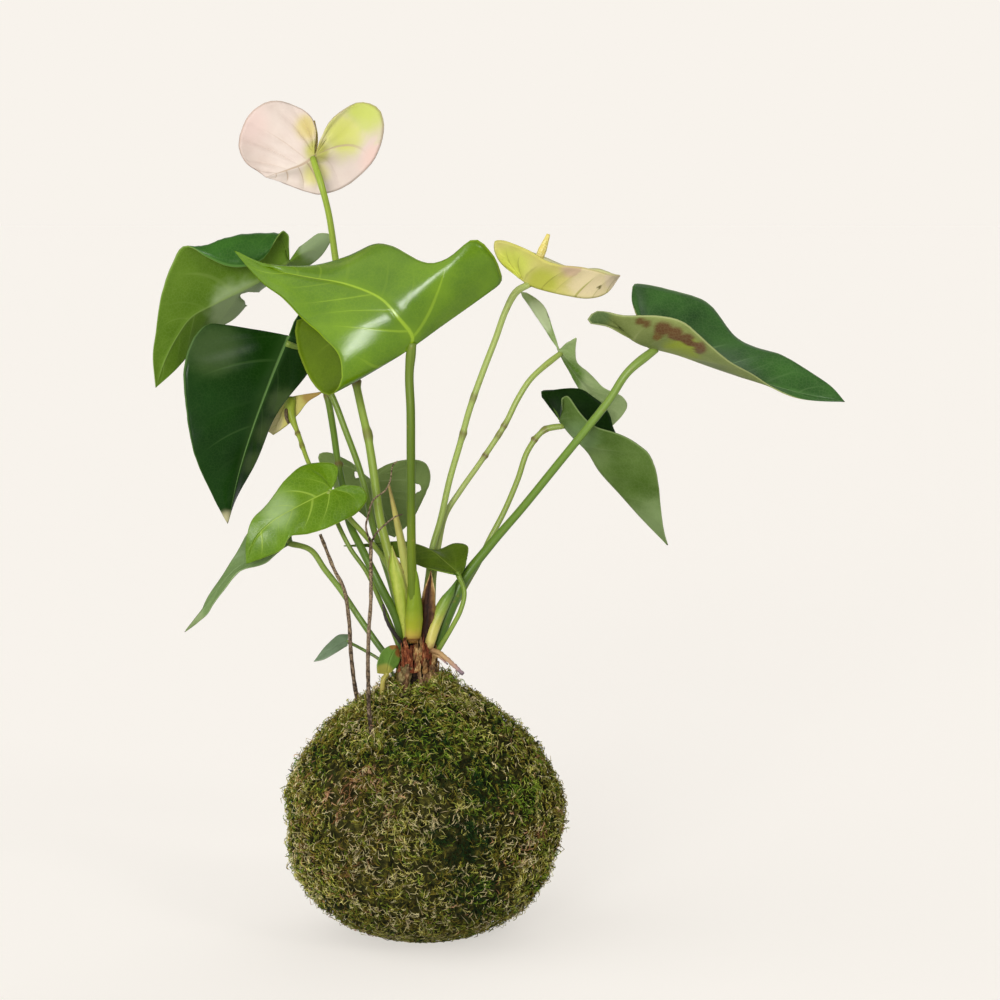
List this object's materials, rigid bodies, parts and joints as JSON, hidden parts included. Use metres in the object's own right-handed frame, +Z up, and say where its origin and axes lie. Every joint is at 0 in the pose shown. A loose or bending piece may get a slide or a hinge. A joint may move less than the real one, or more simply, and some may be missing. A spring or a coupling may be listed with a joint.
{
  "type": "kokedama moss ball plant",
  "caption": "Flamingo flower plant with heart-shaped leaves and coloured spathes, growing from a round moss ball that stands without a pot.",
  "frame": {"origin": "centre of the flat spot that the moss ball rests on", "axes": "+Z up, +X along the plant's widest spread, towards the far leaf, -Y towards the side the plant faces"},
  "size_m": [0.291, 0.1172, 0.3544],
  "materials": {
    "moss": "rough, fibrous",
    "soil": "matt, crumbly",
    "crown": "rough, fibrous",
    "twig": "dry, matt",
    "spear": "waxy",
    "dry_sheath": "dry, papery",
    "root": "matt",
    "dead_root": "dry, matt",
    "dark_leaf": "waxy, glossy",
    "leaf": "waxy, glossy",
    "bright_leaf": "waxy, glossy",
    "grey_leaf": "waxy",
    "stem": "satin",
    "pink_spathe": "waxy",
    "green_spathe": "waxy",
    "dry_spathe": "withered",
    "spadix": "fine bumps"
  },
  "bodies": {
    "root": {"moss_cover": "moss", "soil_ball": "soil", "crown": "crown", "twig_left": "twig", "twig_front": "twig", "new_leaf_spear": "spear", "dry_sheath": "dry_sheath", "aerial_root": "root", "dead_root": "dead_root", "leaf_far_right_blade": "dark_leaf", "leaf_far_right_stem": "stem", "leaf_folded_right_blade": "leaf", "leaf_folded_right_stem": "stem", "leaf_hanging_right_blade": "leaf", "leaf_hanging_right_stem": "stem", "leaf_middle_blade": "bright_leaf", "leaf_middle_stem": "stem", "leaf_top_left_blade": "leaf", "leaf_top_left_stem": "stem", "leaf_hanging_left_blade": "dark_leaf", "leaf_hanging_left_stem": "stem", "leaf_heart_blade": "bright_leaf", "leaf_heart_stem": "stem", "leaf_narrow_left_blade": "leaf", "leaf_narrow_left_stem": "stem", "leaf_back_blade": "grey_leaf", "leaf_back_stem": "stem", "leaf_small_folded_blade": "dark_leaf", "leaf_small_folded_stem": "stem", "leaf_tiny_left_blade": "grey_leaf", "leaf_tiny_left_stem": "stem", "leaf_tiny_crown_blade": "leaf", "leaf_tiny_crown_stem": "stem", "flower_top_spathe": "pink_spathe", "flower_top_stem": "stem", "flower_top_spadix": "spadix", "flower_right_spathe": "green_spathe", "flower_right_stem": "stem", "flower_right_spadix": "spadix", "flower_withered_spathe": "dry_spathe", "flower_withered_stem": "stem", "flower_withered_spadix": "dead_root"}
  },
  "joints": []
}
